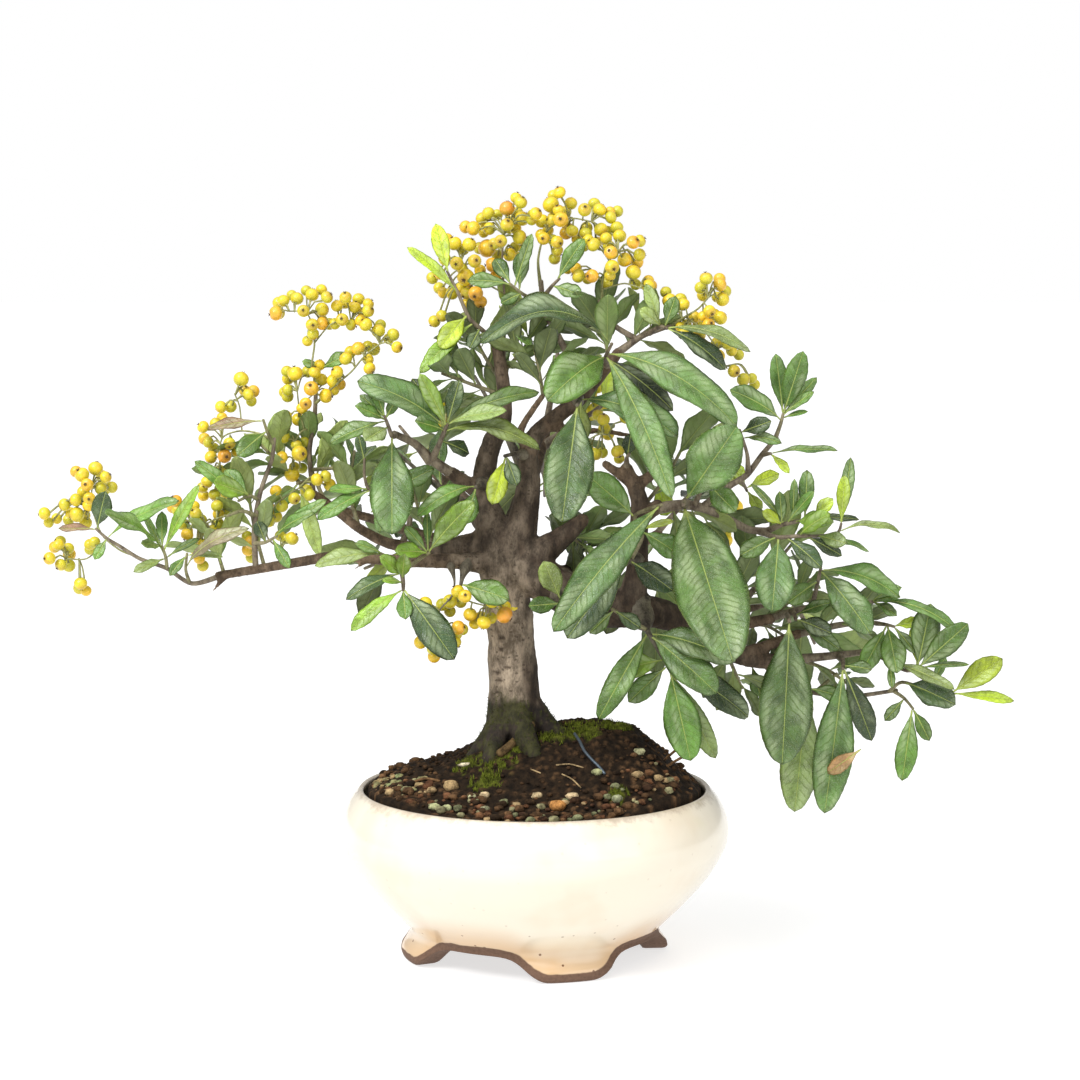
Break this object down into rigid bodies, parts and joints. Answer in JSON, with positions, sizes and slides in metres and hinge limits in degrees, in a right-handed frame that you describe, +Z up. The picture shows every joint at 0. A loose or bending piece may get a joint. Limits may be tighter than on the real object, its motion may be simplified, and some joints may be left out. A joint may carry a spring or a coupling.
{
  "type": "scarlet firethorn bonsai",
  "caption": "Firethorn bonsai with an upright trunk, wide leafy branches and ripening berry bunches, heaped soil, in a round cream glazed bowl on small feet.",
  "frame": {"origin": "bottom centre of the whole object's bounding box, on the surface that the bowl's feet stand on", "axes": "+X to the right in the picture, along the widest spread of the branches; +Y away from the viewer; +Z up"},
  "size_m": [0.3846, 0.1856, 0.2994],
  "materials": {
    "bowl_glaze": "gloss cream glaze, unglazed clay under the feet",
    "soil": "dark crumbly soil with grit and moss",
    "bark": "matt grey-brown bark with lenticels",
    "leaves": "leathery satin green leaves with pale veins",
    "berries": "smooth waxy yellow to orange skin"
  },
  "bodies": {
    "root": {"back_left_high": "leaves", "back_left_low": "leaves", "back_left_middle": "leaves", "back_left_tip": "leaves", "back_middle": "leaves", "back_right_high": "leaves", "back_right_low": "leaves", "back_right_middle": "leaves", "back_right_tip": "leaves", "back_right_top": "leaves", "back_top": "leaves", "back_top_left": "leaves", "berries_back_left": "berries", "berries_back_middle": "berries", "berries_back_right": "berries", "berries_centre": "berries", "berries_crown_left": "berries", "berries_crown_middle": "berries", "berries_crown_right": "berries", "berries_far_left": "berries", "berries_left_crown": "berries", "berries_left_crown_low": "berries", "berries_left_high": "berries", "berries_left_low": "berries", "berries_left_middle": "berries", "berries_left_twig": "berries", "berries_low": "berries", "berries_right_high": "berries", "bowl": "bowl_glaze", "leaves_centre": "leaves", "leaves_centre_cut": "leaves", "leaves_centre_lime": "leaves", "leaves_centre_long": "leaves", "leaves_crown_arching": "leaves", "leaves_crown_left": "leaves", "leaves_crown_middle": "leaves", "leaves_crown_right": "leaves", "leaves_far_left": "leaves", "leaves_inner_left": "leaves", "leaves_inner_middle": "leaves", "leaves_left_behind": "leaves", "leaves_left_crown": "leaves", "leaves_left_twig": "leaves", "leaves_left_upright": "leaves", "leaves_low_left": "leaves", "leaves_low_right": "leaves", "leaves_right_behind": "leaves", "leaves_right_branch": "leaves", "leaves_right_branch_end": "leaves", "leaves_right_low": "leaves", "leaves_right_middle": "leaves", "leaves_right_outer": "leaves", "leaves_right_twig": "leaves", "leaves_trunk_front": "leaves", "leaves_trunk_side": "leaves", "soil": "soil", "wood": "bark"}
  },
  "joints": []
}
